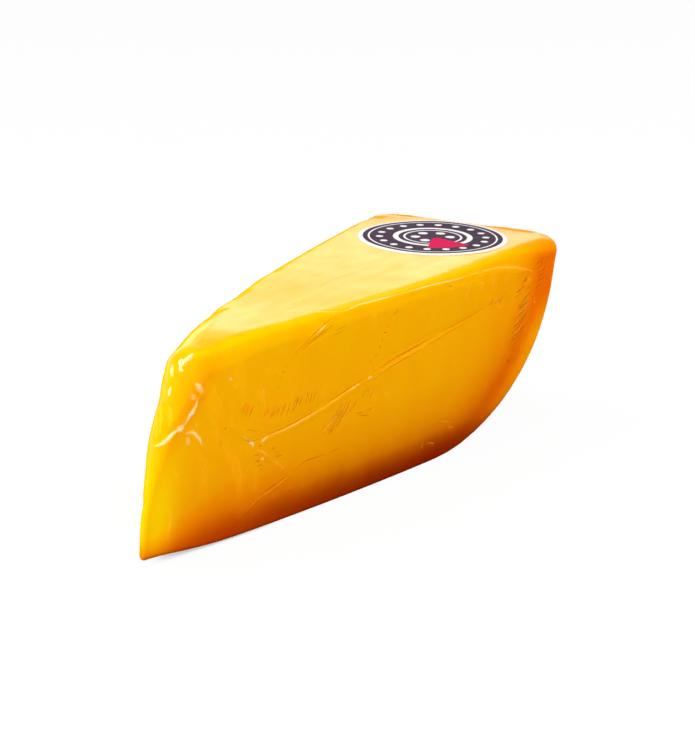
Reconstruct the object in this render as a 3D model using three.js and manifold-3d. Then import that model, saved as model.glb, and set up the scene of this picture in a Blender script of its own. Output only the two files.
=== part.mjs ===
// A slim wedge of aged gouda in a skin-tight clear film, with a round label on top.
// Millimetres, +Z up. The wedge is a sector of half a wheel, cut flat across its middle:
// +X runs from the wheel's centre (the nose) out to its rim, -Y is the near cut face,
// and the bottom is the wheel's flat rind face. The origin is at the middle of the
// footprint's box, on the surface that the wedge stands on.

import * as THREE from 'three';
import { mergeVertices } from 'three/addons/utils/BufferGeometryUtils.js';
import Module from 'manifold-3d';

const wasm = await Module();
wasm.setup();

// The wheel and the cut.
const WHEEL_RADIUS = 175;
const HEIGHT = 47.7;
const HALF_ANGLE = THREE.MathUtils.degToRad(9.35);

// The nose is blunt, set back from the wheel's centre, and leans back towards the top.
const NOSE_BOTTOM = 4.6;
const NOSE_TOP = 24.9;
const NOSE_LEAN = 2.2;
const NOSE_ROUND_BOTTOM = 2.6;
const NOSE_ROUND_TOP = 4.5;
const NOSE_LEAST_HALF_WIDTH = 0.1;

// The rim is the wheel's side, upright at the top and curling under to the flat bottom.
const RIM_UNDER = 65.6;
const RIM_CURL = 2.27;
const RIM_CORNER_ROUND = 6;

// A corner's rounding is at least this, and takes at most this share of either edge beside it.
const LEAST_ROUND = 0.3;
const ROUND_ROOM = 0.48;

// The rounded edges, and the cut faces' bellies.
const TOP_ROUND = 3.75;
const BOTTOM_ROUND = 1.5;
const BELLY_NEAR = 4.1;
const BELLY_FAR = 5;
const BELLY_LEAST_HALF_WIDTH = 2;

// The film pulls the top down at the nose, and the foot of the nose lifts a little.
const NOSE_SAG = 1.9;
const NOSE_SAG_REACH = 12.3;
const FOOT_LIFT = 1.9;
const FOOT_LIFT_REACH = 16.3;

// Steps of the outline, from the nose's middle to the rim's middle, and of the levels,
// which lie closer together low down, where the rim curls.
const NOSE_STEPS = 4;
const SIDE_STEPS = 32;
const CORNER_STEPS = 4;
const RIM_STEPS = 5;
const BOTTOM_LEVELS = 3;
const WALL_LEVELS = 13;
const TOP_LEVELS = 4;
const WALL_LEVELS_LOW = 1.4;

// Raised folds of the film. A route point is [way round the outline from the nose's middle,
// climb up the skin]: above the wall, the climb goes on over the rounded top edge.
const FOLDS = [
  { width: 1.4, height: 0.5, route: [[31, 22.2], [39, 22.7], [49, 23.8], [58, 25.3], [67, 27.5], [77, 30.4]] },
  { width: 0.9, height: 0.35, route: [[74, 30], [85, 33], [102, 34.7], [119, 35.9]] },
  { width: 0.9, height: 0.3, route: [[72, 28.2], [86, 31.8], [102, 34], [113, 35]] },
  { width: 1, height: 0.35, route: [[27, 26.3], [30, 24.2], [33.5, 21.8]] },
  { width: 0.8, height: 0.3, route: [[32, 22.3], [39, 18.2], [48.5, 11]] },
  { width: 0.8, height: 0.3, route: [[49, 12], [43, 9.5], [37, 8.1], [32, 6.3], [27, 2.8]] },
  { width: 0.8, height: 0.25, route: [[47, 11], [53, 13], [59, 13], [67, 13.4]] },
  { width: 1.1, height: 0.4, route: [[42, 48.6], [51, 47.4], [67, 47.5], [86, 46.8], [114, 45.5], [141, 41]] },
  { width: 1, height: 0.35, route: [[52, 47.6], [46, 45.4], [43, 43.9], [35.5, 39.8]] },
  { width: 0.8, height: 0.3, route: [[51, 44.8], [48, 43.6], [38, 41.1], [35, 40.4]] },
  { width: 1.1, height: 0.5, route: [[-0.9, 27.5], [2.9, 30.4], [5.4, 33.2], [6.8, 36.4], [6.4, 39]] },
  { width: 1, height: 0.35, route: [[5.5, 30.6], [9.1, 30.1], [12.9, 27.7], [17.4, 22.4]] },
];
// A fold's root reaches into the cheese, and its ends keep a share of its width and height.
const FOLD_ROOT = 0.7;
const FOLD_STEPS = 14;
const FOLD_SIDES = 6;
const FOLD_END = 0.2;
const FOLD_TAPER = 0.6;

const LABEL_DIAMETER = 40;
const LABEL_THICKNESS = 0.3;
const LABEL_FROM_CENTRE = 150;
const LABEL_STEPS = 64;
const LABEL_GAP = 0.02;

// The step over which the skin's slope is taken, and the distance within which points are one.
const SLOPE_STEP = 0.5;
const SAME_POINT = 1e-5;

const filmedCheese = new THREE.MeshStandardMaterial({ color: 0xf0a81e, roughness: 0.3, metalness: 0 });
const labelPaper = new THREE.MeshStandardMaterial({ color: 0x4b3a4d, roughness: 0.4, metalness: 0 });

function blend(from, to, share) {
  return from + (to - from) * share;
}

// Points of the arc that rounds a corner between two neighbours.
function roundedCorner(before, corner, after, radius, steps) {
  const u = before.clone().sub(corner).normalize();
  const v = after.clone().sub(corner).normalize();
  const half = Math.acos(THREE.MathUtils.clamp(u.dot(v), -1, 1)) / 2;
  const room = ROUND_ROOM * Math.min(before.distanceTo(corner), after.distanceTo(corner));
  const reach = Math.min(radius / Math.tan(half), room);
  const r = reach * Math.tan(half);
  const centre = u.clone().add(v).normalize().multiplyScalar(r / Math.sin(half)).add(corner);
  const start = u.clone().multiplyScalar(reach).add(corner).sub(centre);
  const end = v.clone().multiplyScalar(reach).add(corner).sub(centre);
  const turn = Math.atan2(start.x * end.y - start.y * end.x, start.dot(end));
  const points = [];
  for (let i = 0; i <= steps; i += 1) {
    points.push(start.clone().rotateAround(new THREE.Vector2(), turn * i / steps).add(centre));
  }
  return points;
}

// The rim's distance from the wheel's centre at a share of the height.
function rimRadius(share) {
  const low = 1 - share;
  return WHEEL_RADIUS - RIM_UNDER * (1 - Math.sqrt(1 - low ** RIM_CURL));
}

// Half of the sharp-sided outline at a height, drawn in by a drop: from the nose's middle
// along the near side to the rim's middle. The outline is the same on the far side.
function halfOutline(z, drop) {
  const share = THREE.MathUtils.clamp(z / HEIGHT, 0, 1);
  const front = blend(NOSE_BOTTOM, NOSE_TOP, share ** NOSE_LEAN) + drop;
  const rim = rimRadius(share) - drop;
  const along = Math.sqrt(rim ** 2 - drop ** 2);
  const halfFront = (front - drop / Math.sin(HALF_ANGLE)) * Math.tan(HALF_ANGLE);
  const nose = new THREE.Vector2(front, -Math.max(halfFront, NOSE_LEAST_HALF_WIDTH));
  const corner = new THREE.Vector2(
    along * Math.cos(HALF_ANGLE) + drop * Math.sin(HALF_ANGLE),
    drop * Math.cos(HALF_ANGLE) - along * Math.sin(HALF_ANGLE),
  );
  const rimMiddle = new THREE.Vector2(rim, 0);
  const noseRound = Math.max(blend(NOSE_ROUND_BOTTOM, NOSE_ROUND_TOP, share) - drop / 2, LEAST_ROUND);
  const farNose = new THREE.Vector2(front, -nose.y);
  const noseArc = roundedCorner(farNose, nose, corner, noseRound, NOSE_STEPS);
  const cornerArc = roundedCorner(nose, corner, rimMiddle, RIM_CORNER_ROUND - drop / 2, CORNER_STEPS);
  const points = [new THREE.Vector2(front, 0), ...noseArc];
  const sideStart = noseArc[noseArc.length - 1];
  for (let i = 1; i < SIDE_STEPS; i += 1) {
    points.push(sideStart.clone().lerp(cornerArc[0], i / SIDE_STEPS));
  }
  points.push(...cornerArc);
  const rimStart = cornerArc[CORNER_STEPS].angle() - 2 * Math.PI;
  for (let i = 1; i <= RIM_STEPS; i += 1) {
    const angle = rimStart * (1 - i / RIM_STEPS);
    points.push(new THREE.Vector2(rim * Math.cos(angle), rim * Math.sin(angle)));
  }
  return points;
}

// The cut faces belly outwards, most of all half-way from the nose to the rim.
function belly(point, side, most) {
  const share = THREE.MathUtils.clamp((point.x - NOSE_BOTTOM) / (WHEEL_RADIUS - NOSE_BOTTOM), 0, 1);
  const halfWidth = Math.max(point.x * Math.tan(HALF_ANGLE), BELLY_LEAST_HALF_WIDTH);
  return new THREE.Vector2(point.x, side * -point.y * (1 + most * 4 * share * (1 - share) / halfWidth));
}

// The whole outline, starting at the nose's middle and running round by the near side.
function outline(z, drop) {
  const half = halfOutline(z, drop);
  const near = half.map((point) => belly(point, -1, BELLY_NEAR));
  const far = half.slice(1, -1).map((point) => belly(point, 1, BELLY_FAR));
  return [...near, ...far.reverse()];
}

// The film's pull on the top of the nose, and the lift of the nose's foot.
function settle(point) {
  const sag = NOSE_SAG * Math.exp(-((Math.max(point.x - NOSE_TOP, 0) / NOSE_SAG_REACH) ** 2));
  const lift = FOOT_LIFT * Math.exp(-((Math.max(point.x - NOSE_BOTTOM, 0) / FOOT_LIFT_REACH) ** 2));
  const z = point.z * (1 - sag / HEIGHT);
  return new THREE.Vector3(point.x, point.y, z + lift * (1 - z / HEIGHT));
}

// The height and the drop of a level, from its climb up the skin.
function level(climb) {
  const wallTop = HEIGHT - TOP_ROUND;
  if (climb < BOTTOM_ROUND) {
    const angle = Math.acos(1 - climb / BOTTOM_ROUND);
    return { z: climb, drop: BOTTOM_ROUND * (1 - Math.sin(angle)) };
  }
  if (climb <= wallTop) {
    return { z: climb, drop: 0 };
  }
  const angle = Math.min((climb - wallTop) / TOP_ROUND, Math.PI / 2);
  const over = climb - wallTop - TOP_ROUND * angle;
  return { z: wallTop + TOP_ROUND * Math.sin(angle), drop: TOP_ROUND * (1 - Math.cos(angle)) + over };
}

function ringAt(climb) {
  const { z, drop } = level(climb);
  return outline(z, drop).map((point) => settle(new THREE.Vector3(point.x, point.y, z)));
}

// The climbs of all the levels, from the bottom face to the top face.
function climbs() {
  const wallTop = HEIGHT - TOP_ROUND;
  const list = [];
  for (let i = 0; i < BOTTOM_LEVELS; i += 1) {
    list.push(BOTTOM_ROUND * (1 - Math.cos(i / BOTTOM_LEVELS * Math.PI / 2)));
  }
  for (let i = 0; i < WALL_LEVELS; i += 1) {
    list.push(blend(BOTTOM_ROUND, wallTop, (i / WALL_LEVELS) ** WALL_LEVELS_LOW));
  }
  for (let i = 0; i <= TOP_LEVELS; i += 1) {
    list.push(wallTop + TOP_ROUND * Math.PI / 2 * i / TOP_LEVELS);
  }
  return list;
}

// A closed skin over rings of equal length that share their first and half-way points.
function skinOver(rings) {
  const count = rings[0].length;
  const triangles = [];
  for (let row = 0; row < rings.length - 1; row += 1) {
    for (let i = 0; i < count; i += 1) {
      const a = row * count + i;
      const b = row * count + (i + 1) % count;
      triangles.push(a, b, b + count, a, b + count, a + count);
    }
  }
  const top = (rings.length - 1) * count;
  for (let i = 0; i < count / 2; i += 1) {
    const near = [i, i + 1];
    const far = [(count - i) % count, count - i - 1];
    if (i > 0) {
      triangles.push(near[0], far[0], near[1]);
      triangles.push(top + near[0], top + near[1], top + far[0]);
    }
    if (i < count / 2 - 1) {
      triangles.push(near[1], far[0], far[1]);
      triangles.push(top + near[1], top + far[1], top + far[0]);
    }
  }
  return geometryOf(rings.flat(), triangles);
}

function geometryOf(points, triangles) {
  const geometry = new THREE.BufferGeometry().setFromPoints(points);
  geometry.setIndex(triangles);
  return geometry;
}

// The skin's point at a way round the outline and a climb.
function skinPoint(round, climb) {
  const ring = ringAt(climb);
  const backwards = round < 0;
  const steps = backwards ? [ring[0], ...ring.slice(1).reverse()] : ring;
  let left = Math.abs(round);
  for (let i = 1; i < steps.length; i += 1) {
    const length = steps[i].distanceTo(steps[i - 1]);
    if (left <= length) {
      return steps[i - 1].clone().lerp(steps[i], left / length);
    }
    left -= length;
  }
  return steps[0].clone();
}

function skinNormal(round, climb) {
  const across = skinPoint(round + SLOPE_STEP, climb).sub(skinPoint(round - SLOPE_STEP, climb));
  const up = skinPoint(round, climb + SLOPE_STEP).sub(skinPoint(round, climb - SLOPE_STEP));
  return across.cross(up).normalize();
}

// A tapered ridge that lies on the skin along its route, with its root inside the cheese.
function foldGeometry({ width, height, route }) {
  const path = new THREE.SplineCurve(route.map(([round, climb]) => new THREE.Vector2(round, climb)));
  const stations = path.getPoints(FOLD_STEPS).map(({ x, y }) => ({
    base: skinPoint(x, y),
    out: skinNormal(x, y),
  }));
  const points = [];
  const triangles = [];
  stations.forEach(({ base, out }, step) => {
    const ahead = stations[Math.min(step + 1, FOLD_STEPS)].base;
    const behind = stations[Math.max(step - 1, 0)].base;
    const side = out.clone().cross(ahead.clone().sub(behind)).normalize();
    const swell = blend(FOLD_END, 1, Math.sin(Math.PI * step / FOLD_STEPS) ** FOLD_TAPER);
    for (let i = 0; i < FOLD_SIDES; i += 1) {
      const angle = 2 * Math.PI * i / FOLD_SIDES;
      const rise = Math.sin(angle) > 0 ? height * Math.sin(angle) : FOLD_ROOT * Math.sin(angle);
      points.push(base.clone()
        .addScaledVector(side, Math.cos(angle) * width * swell / 2)
        .addScaledVector(out, rise * swell));
    }
  });
  for (let step = 0; step < FOLD_STEPS; step += 1) {
    for (let i = 0; i < FOLD_SIDES; i += 1) {
      const a = step * FOLD_SIDES + i;
      const b = step * FOLD_SIDES + (i + 1) % FOLD_SIDES;
      triangles.push(a, b, b + FOLD_SIDES, a, b + FOLD_SIDES, a + FOLD_SIDES);
    }
  }
  const last = FOLD_STEPS * FOLD_SIDES;
  for (let i = 1; i < FOLD_SIDES - 1; i += 1) {
    triangles.push(0, i + 1, i, last, last + i, last + i + 1);
  }
  return geometryOf(points, triangles);
}

function toSolid(geometry) {
  const merged = mergeVertices(geometry, SAME_POINT);
  return new wasm.Manifold(new wasm.Mesh({
    numProp: 3,
    vertProperties: new Float32Array(merged.attributes.position.array),
    triVerts: new Uint32Array(merged.index.array),
  }));
}

function fromSolid(solid) {
  const { vertProperties, triVerts, numProp } = solid.getMesh();
  const points = [];
  for (let i = 0; i < vertProperties.length; i += numProp) {
    points.push(new THREE.Vector3(...vertProperties.slice(i, i + 3)));
  }
  return geometryOf(points, Array.from(triVerts));
}

function wedgeGeometry() {
  let solid = toSolid(skinOver(climbs().map(ringAt)));
  for (const fold of FOLDS) {
    solid = solid.add(toSolid(foldGeometry(fold)));
  }
  return fromSolid(solid);
}

// The label lies on the flat top, a hair clear of the film.
function labelGeometry() {
  const geometry = new THREE.CylinderGeometry(
    LABEL_DIAMETER / 2, LABEL_DIAMETER / 2, LABEL_THICKNESS, LABEL_STEPS,
  );
  geometry.rotateX(Math.PI / 2);
  geometry.translate(LABEL_FROM_CENTRE, 0, HEIGHT + LABEL_GAP + LABEL_THICKNESS / 2);
  return geometry;
}

function namedMesh(name, geometry, material) {
  const mesh = new THREE.Mesh(geometry, material);
  mesh.name = name;
  return mesh;
}

const wedge = namedMesh('cheese_wedge', wedgeGeometry(), filmedCheese);
const label = namedMesh('label', labelGeometry(), labelPaper);

const part = new THREE.Group();
part.add(wedge, label);

// The origin moves from the wheel's centre to the middle of the footprint's box.
const box = new THREE.Box3().setFromObject(part, true);
const middle = box.getCenter(new THREE.Vector3());
part.position.set(-middle.x, -middle.y, -box.min.z);

export default part;
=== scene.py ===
"""A slim wedge of aged gouda, vacuum-packed in a clear film, with a round label on its top."""

import math
import random

import bpy
import numpy as np
from mathutils import Matrix, Vector, noise
from mathutils.bvhtree import BVHTree


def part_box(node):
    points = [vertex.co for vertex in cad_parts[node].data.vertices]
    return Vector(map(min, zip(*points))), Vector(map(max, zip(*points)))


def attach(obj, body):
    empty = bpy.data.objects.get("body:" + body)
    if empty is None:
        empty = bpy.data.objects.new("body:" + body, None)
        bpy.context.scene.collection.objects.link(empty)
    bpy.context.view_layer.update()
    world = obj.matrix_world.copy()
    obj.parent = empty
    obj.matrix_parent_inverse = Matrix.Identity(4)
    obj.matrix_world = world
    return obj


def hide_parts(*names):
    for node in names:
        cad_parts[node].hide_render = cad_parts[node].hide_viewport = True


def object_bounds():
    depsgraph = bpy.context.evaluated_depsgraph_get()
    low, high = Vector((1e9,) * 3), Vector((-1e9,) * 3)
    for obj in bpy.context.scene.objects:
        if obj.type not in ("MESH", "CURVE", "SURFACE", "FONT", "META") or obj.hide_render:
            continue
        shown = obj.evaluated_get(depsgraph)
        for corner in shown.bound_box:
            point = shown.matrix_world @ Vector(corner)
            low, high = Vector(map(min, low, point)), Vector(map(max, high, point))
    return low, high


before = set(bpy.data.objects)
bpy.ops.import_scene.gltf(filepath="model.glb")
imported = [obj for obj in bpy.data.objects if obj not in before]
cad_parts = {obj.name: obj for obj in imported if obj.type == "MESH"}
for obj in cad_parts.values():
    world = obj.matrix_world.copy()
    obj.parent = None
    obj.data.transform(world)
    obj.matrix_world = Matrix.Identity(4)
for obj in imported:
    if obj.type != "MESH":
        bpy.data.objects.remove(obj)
CAD_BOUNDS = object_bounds()

# The wheel and the cut, in metres, as the CAD wedge has them.
MM = 0.001
WHEEL_RADIUS = 175 * MM
HEIGHT = 47.7 * MM
HALF_ANGLE = math.radians(9.35)
NOSE_BOTTOM = 4.6 * MM
NOSE_TOP = 24.9 * MM
NOSE_LEAN = 2.2
NOSE_ROUND_BOTTOM = 2.6 * MM
NOSE_ROUND_TOP = 4.5 * MM
NOSE_LEAST_HALF_WIDTH = 0.1 * MM
RIM_UNDER = 65.6 * MM
RIM_CURL = 2.27
RIM_CORNER_ROUND = 6 * MM
LEAST_ROUND = 0.3 * MM
ROUND_ROOM = 0.48
TOP_ROUND = 3.75 * MM
BOTTOM_ROUND = 1.5 * MM
BELLY_NEAR = 4.1 * MM
BELLY_FAR = 5 * MM
BELLY_LEAST_HALF_WIDTH = 2 * MM
NOSE_SAG = 1.9 * MM
NOSE_SAG_REACH = 12.3 * MM
FOOT_LIFT = 1.9 * MM
FOOT_LIFT_REACH = 16.3 * MM
WALL_TOP = HEIGHT - TOP_ROUND
ROUND_LENGTH = TOP_ROUND * math.pi / 2

# The near top edge is rounder in its middle: [distance from the wheel's centre, round].
NEAR_ROUNDS = [
    (20 * MM, 5 * MM), (55 * MM, 3.75 * MM), (110 * MM, 3.75 * MM),
    (145 * MM, 6 * MM), (160 * MM, 5 * MM), (170 * MM, 3.75 * MM),
]

WEDGE_LOW, WEDGE_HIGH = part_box("cheese_wedge")
LABEL_LOW, LABEL_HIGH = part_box("label")
LABEL_MIDDLE = (LABEL_LOW + LABEL_HIGH) / 2
LABEL_RADIUS = (LABEL_HIGH.x - LABEL_LOW.x) / 2
LABEL_CALM = 3 * MM
WHEEL_CENTRE = Vector((WEDGE_HIGH.x - WHEEL_RADIUS, LABEL_MIDDLE.y, WEDGE_LOW.z))

# Mesh steps along half the outline and up the skin. The near side has FINE times the far side's steps.
FINE = 4
FILM_STEPS = {
    "front": 2, "nose": 4, "side": 116, "corner": 5, "rim": 9,
    "bottom": 4, "wall": 116, "top": 14, "across": 16,
}
CHEESE_STEPS = {
    "front": 1, "nose": 4, "side": 84, "corner": 4, "rim": 8,
    "bottom": 4, "wall": 92, "top": 10, "across": 14,
}
FILM_GAP = 0.06 * MM

# Soft folds of the skin, in millimetres: (width, height, route). A route point is [way round the
# outline from the nose's middle on the near side, climb up the skin]. A height below 0 is a groove.
FOLDS = [
    (1.2, -0.16, [[30, 22.9], [39, 23.3], [49, 24.4], [58, 25.9], [67, 28.2], [77, 31.2]]),
    (1.2, 0.16, [[31, 22], [39, 22.4], [49, 23.5], [58, 25], [67, 27.2], [77, 30]]),
    (0.9, -0.14, [[75, 30.7], [85, 33], [102, 34.7], [119, 35.9], [128, 36.3]]),
    (0.8, -0.12, [[75, 29.3], [86, 31.8], [102, 34], [115, 35]]),
    (1.4, 0.2, [[22, 29], [27, 26.2], [31, 23.2]]),
    (1.0, 0.14, [[32, 21], [39, 17.5], [48, 11.8]]),
    (0.8, 0.14, [[49, 11.4], [43, 9.1], [37, 7.7], [32, 6], [27, 2.6]]),
    (1.1, 0.3, [[40, 48.4], [51, 47.4], [67, 47.3], [86, 46.6], [114, 45.3], [141, 41]]),
    (0.9, 0.2, [[52, 47.6], [46, 45.4], [43, 43.9], [35.5, 39.8]]),
    (0.8, -0.18, [[51, 44.8], [48, 43.6], [38, 41.1], [35, 40.2]]),
    (1.0, 0.3, [[-0.9, 27.5], [2.9, 30.4], [5.4, 33.2], [6.8, 36.4], [6.4, 39]]),
    (0.9, 0.2, [[5.5, 30.6], [9.1, 30.1], [12.9, 27.7], [17.4, 22.4]]),
    (4.5, -0.5, [[-7, 37.5], [-3, 37], [0, 36.5], [3, 36]]),
    (1.2, 0.25, [[-3, 38], [-2.6, 42], [-1.8, 45.5], [-0.6, 48.5]]),
    (1.2, 0.25, [[2.5, 44], [4, 46.5], [6.5, 49]]),
    (2.2, 0.18, [[21, 31], [27, 24], [32, 16], [35, 8]]),
    (2.2, 0.16, [[17, 26], [24, 20], [28, 13]]),
    (1.4, 0.3, [[-20, 41], [-50, 44], [-85, 42.5], [-130, 43.5]]),
    (1.2, 0.25, [[-35, 12], [-60, 18], [-95, 31], [-140, 34]]),
    (1.2, -0.2, [[-58, 19], [-66, 10], [-70, 3]]),
    (1.2, 0.25, [[-104, 4], [-112, 14], [-126, 20]]),
]

# Small bumps and dents: [way round, climb, radius, height].
BUMPS = [
    [141, 38.2, 0.9, 0.3], [148, 32.6, 0.8, 0.3], [145, 27.2, 0.7, 0.2], [146, 23.1, 0.6, 0.2],
    [42, 16.5, 0.9, -0.2], [142, 17.6, 1.2, -0.3], [108, 4.5, 2.2, -0.3], [43, 8.7, 1.1, -0.35],
    [5, 41.6, 1.2, 0.2], [8, 38.8, 1.0, 0.2], [20, 37.5, 0.6, 0.15],
    [-2, 27, 4, 0.25], [-1, 14, 2, -0.25], [154, 47.5, 5, 0.6],
    [-33, 46.5, 3, -0.25], [-40, 47, 3, 0.2], [-52, 47, 4, -0.25], [-68, 47, 5, 0.25],
    [-142, 47, 4, -0.5], [-150, 48, 4, 0.25],
]

# How steeply a fold falls off, and how it tapers at its ends.
FOLD_FALL = 2.5
FOLD_TAPER = 0.5

# The skin's soft unevenness, as waves: (height in millimetres, reach round and up the skin, seed).
RELIEF_WAVES = [(0.05, (4.5, 16), 3), (0.12, (18, 14), 5)]

# Points between two route points, for folds, for pixels and for the sides that don't show.
ROUTE_STEPS = 12
PIXEL_STEPS = 8
HIDDEN_STEPS = 6

# The camera, as fitted to the photograph's outline. The picture is 695 by 750 pixels.
PICTURE_WIDE = 695
PICTURE_TALL = 750
SENSOR = 36
FOCAL_PIXELS = 2581.7
CAMERA_TURN = math.radians(-62.615)
CAMERA_PITCH = math.radians(16.257)
CAMERA_ROLL = math.radians(-1.393)
CAMERA_DISTANCE = 0.64907
AIM = Vector((0.55 * WHEEL_RADIUS, 0, HEIGHT / 2))
AIM_PIXEL = (-11.64, -3.63)

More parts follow.
